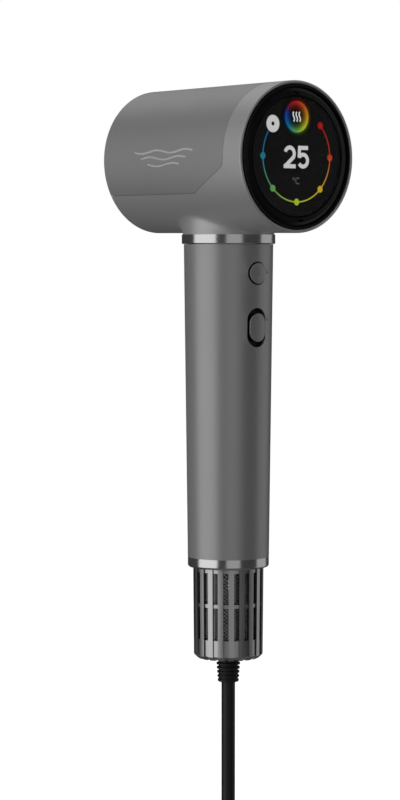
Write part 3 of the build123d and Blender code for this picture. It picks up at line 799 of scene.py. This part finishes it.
def make_airflow_marks():
    """Three slender flowing lines on each side of the barrel."""
    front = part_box("head_cover")[0].y
    for side, name in ((-1, "airflow_mark_left"), (1, "airflow_mark_right")):
        mark = Solid()
        for row, (start, length) in enumerate(((22, 44), (27, 34), (32, 24))):
            line = []
            for i in range(49):
                share = i / 48
                y = front + (start + length * share) * MM
                line.append((y, (3.2 - 3.2 * row + 0.7 * math.sin(2 * math.pi * (share * length / 22))) * MM))
            mark.ribbon(line, 1.0 * MM, on_barrel(side), -0.1 * MM, 0.08 * MM)
        piece(name, mark.vertices, mark.faces, "chrome", MARK_SILVER)


def make_switch_marks():
    """Power sign beside the button, and the positions II, I and O beside the slide switch."""
    button = middle("power_button").z
    slot = middle("slider_knob").z
    beside = 7.6 * MM
    lifts = (-0.1 * MM, 0.07 * MM)
    marks = Solid()
    marks.ribbon(arc(1.15 * MM, 120, 420, 24, (beside, button)), 0.5 * MM, on_handle, *lifts)
    marks.ribbon([(beside, button + 0.1 * MM), (beside, button + 1.6 * MM)], 0.5 * MM, on_handle, *lifts)
    for z, shifts in ((slot + 4.75 * MM, (-0.55, 0.55)), (slot, (0,))):
        for shift in shifts:
            u = beside + shift * MM
            marks.ribbon([(u, z - 1.1 * MM), (u, z + 1.1 * MM)], 0.55 * MM, on_handle, *lifts)
    marks.ribbon(disc(0.85 * MM, (beside, slot - 4.75 * MM), 24), 0.5 * MM, on_handle, *lifts, closed=True)
    piece("switch_marks", marks.vertices, marks.faces, "switch_metal", MARK_WHITE)


make_airflow_marks()
make_switch_marks()


# ---- camera, light and floor ----------------------------------------------------------------
CAMERA_PLACE = Vector((-0.8570, -0.9876, 0.0681))
CAMERA_LOOK = Vector((0.6465, 0.7612, -0.0520))


def make_camera():
    data = bpy.data.cameras.new("camera")
    data.lens = 120.66
    data.sensor_width = 36.0
    data.clip_start, data.clip_end = 0.05, 60.0
    made = bpy.data.objects.new("camera", data)
    scene.collection.objects.link(made)
    made.location = CAMERA_PLACE
    made.rotation_euler = CAMERA_LOOK.to_track_quat("-Z", "Y").to_euler()
    scene.camera = made


def softbox(name, azimuth, elevation, width, height, glow, distance=1.6):
    """A flat light that faces the grip; azimuth is to the right of the camera's side, in degrees."""
    forward = Vector((-CAMERA_LOOK.x, -CAMERA_LOOK.y, 0)).normalized()
    right = Vector((CAMERA_LOOK.y, -CAMERA_LOOK.x, 0)).normalized()
    a, e = math.radians(azimuth), math.radians(elevation)
    out = (forward * math.cos(a) + right * math.sin(a)) * math.cos(e) + Vector((0, 0, math.sin(e)))
    data = bpy.data.lights.new(name, "AREA")
    data.shape = "RECTANGLE"
    data.size = 2 * distance * math.tan(math.radians(width / 2))
    data.size_y = 2 * distance * math.tan(math.radians(height / 2))
    data.energy = glow * math.pi * data.size * data.size_y
    made = bpy.data.objects.new(name, data)
    scene.collection.objects.link(made)
    made.location = out * distance + Vector((0, 0, 0.03))
    made.rotation_euler = (-out).to_track_quat("-Z", "Y").to_euler()
    made.visible_camera = False


def make_world():
    """White behind the object, and a dim even light from all round."""
    world = bpy.data.worlds.new("studio")
    scene.world = world
    world.use_nodes = True
    nodes, links = world.node_tree.nodes, world.node_tree.links
    nodes.clear()
    ambient = nodes.new("ShaderNodeBackground")
    ambient.inputs["Color"].default_value = (0.045, 0.045, 0.045, 1)
    behind = nodes.new("ShaderNodeBackground")
    behind.inputs["Color"].default_value = (1, 1, 1, 1)
    sight = nodes.new("ShaderNodeLightPath")
    choose = nodes.new("ShaderNodeMixShader")
    out = nodes.new("ShaderNodeOutputWorld")
    links.new(sight.outputs["Is Camera Ray"], choose.inputs["Fac"])
    links.new(ambient.outputs["Background"], choose.inputs[1])
    links.new(behind.outputs["Background"], choose.inputs[2])
    links.new(choose.outputs["Shader"], out.inputs["Surface"])


def make_floor():
    """Pale floor well below the hank; it doesn't light the object."""
    half = 14.0
    level = cad_box[0].z - 0.02
    data = bpy.data.meshes.new("floor")
    data.from_pydata([(-half, -half, level), (half, -half, level), (half, half, level), (-half, half, level)],
                     [], [(0, 1, 2, 3)])
    made = bpy.data.objects.new("floor", data)
    scene.collection.objects.link(made)
    finish = Finish("floor", (0.8, 0.8, 0.8), 0.9)
    finish.vary_colour(finish.noise(0.4, 2), 0.01)
    finish.put("Emission Color", (1, 1, 1, 1))
    finish.put("Emission Strength", 0.97)
    data.materials.append(finish.material)
    made.visible_diffuse = False
    made.visible_glossy = False
    made.visible_shadow = False


make_camera()
softbox("left_panel", -62.5, 4, 62, 74, 0.79)
softbox("front_panel", 13.5, 4, 40, 60, 0.31)
softbox("right_panel", 110, 4, 46, 74, 0.34)
softbox("top_panel", -20, 86, 50, 50, 0.6)
softbox("back_panel", 180, 46, 70, 40, 0.53)
softbox("low_panel", 0, -88, 60, 60, 0.08)
make_world()
make_floor()
